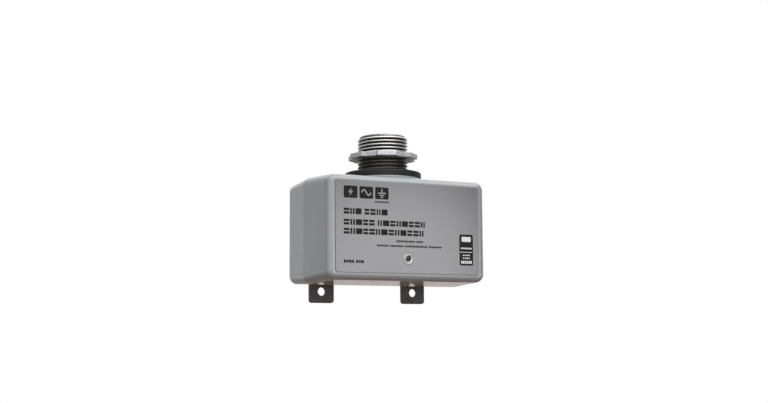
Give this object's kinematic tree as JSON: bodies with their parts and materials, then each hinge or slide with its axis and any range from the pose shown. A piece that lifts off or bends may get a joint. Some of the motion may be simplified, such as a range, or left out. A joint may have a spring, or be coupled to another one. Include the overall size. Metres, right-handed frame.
{
  "type": "whole house surge protector",
  "caption": "Grey two-shell surge protector box with a raised label plate, status lamp, wall feet and a threaded conduit nipple with gasket and locknut on top.",
  "frame": {"origin": "on the conduit nipple's axis, at the gasket's top face, where the electrical panel's wall seats", "axes": "+Z points out of the nipple into the panel, -Y is the label face, +Y faces the wall behind, +X is to the right of the label"},
  "size_m": [0.0926, 0.0508, 0.0882],
  "materials": {
    "enclosure": "satin moulded grey",
    "seal_rubber": "matte black",
    "label_plate": "satin brushed film with printed marks",
    "foot_paint": "satin dark brown-black paint",
    "nipple_metal": "machined, threaded",
    "tinned_brass": "tinned",
    "gasket_rubber": "matte black",
    "locknut_zinc": "bright zinc plate",
    "lamp_bezel": "satin, with a bright bead round the dome",
    "lamp_lens": "dark unlit lens",
    "insulation": "pressed fibre",
    "circuit_board": "solder-mask green",
    "screw_zinc": "zinc plate",
    "varistor_epoxy": "dipped epoxy",
    "fuse_ceramic": "glazed ceramic",
    "resistor_coat": "lacquered",
    "diode_case": "moulded black",
    "capacitor_case": "moulded yellow"
  },
  "bodies": {
    "root": {"front_shell": "enclosure", "rear_shell": "enclosure", "shell_seal": "seal_rubber", "label_plate": "label_plate", "left_foot": "foot_paint", "right_foot": "foot_paint", "conduit_nipple": "nipple_metal", "bond_ring": "tinned_brass", "nipple_gasket": "gasket_rubber", "led_bezel": "lamp_bezel", "status_led": "lamp_lens", "led_spacer": "insulation", "circuit_board": "circuit_board", "shell_screw_1": "screw_zinc", "shell_screw_2": "screw_zinc", "shell_screw_3": "screw_zinc", "shell_screw_4": "screw_zinc", "left_foot_screw_1": "screw_zinc", "left_foot_screw_2": "screw_zinc", "right_foot_screw_1": "screw_zinc", "right_foot_screw_2": "screw_zinc", "board_screw_1": "screw_zinc", "board_screw_2": "screw_zinc", "board_screw_3": "screw_zinc", "board_screw_4": "screw_zinc", "varistor_1": "varistor_epoxy", "varistor_2": "varistor_epoxy", "varistor_3": "varistor_epoxy", "varistor_4": "varistor_epoxy", "thermal_cutoff_1": "fuse_ceramic", "thermal_cutoff_2": "fuse_ceramic", "line_fuse_1": "fuse_ceramic", "line_fuse_2": "fuse_ceramic", "lamp_resistor": "resistor_coat", "lamp_diode": "diode_case", "film_capacitor": "capacitor_case", "lead_terminal_1": "tinned_brass", "lead_terminal_2": "tinned_brass", "lead_terminal_3": "tinned_brass", "lead_terminal_4": "tinned_brass", "insulation_sheet": "insulation"},
    "locknut": {"conduit_locknut": "locknut_zinc"}
  },
  "joints": [
    {"name": "locknut_travel", "type": "slide", "parent": "root", "child": "locknut", "axis": [0, 0, 1], "range_m": [-0.0069, 0.0132]}
  ]
}
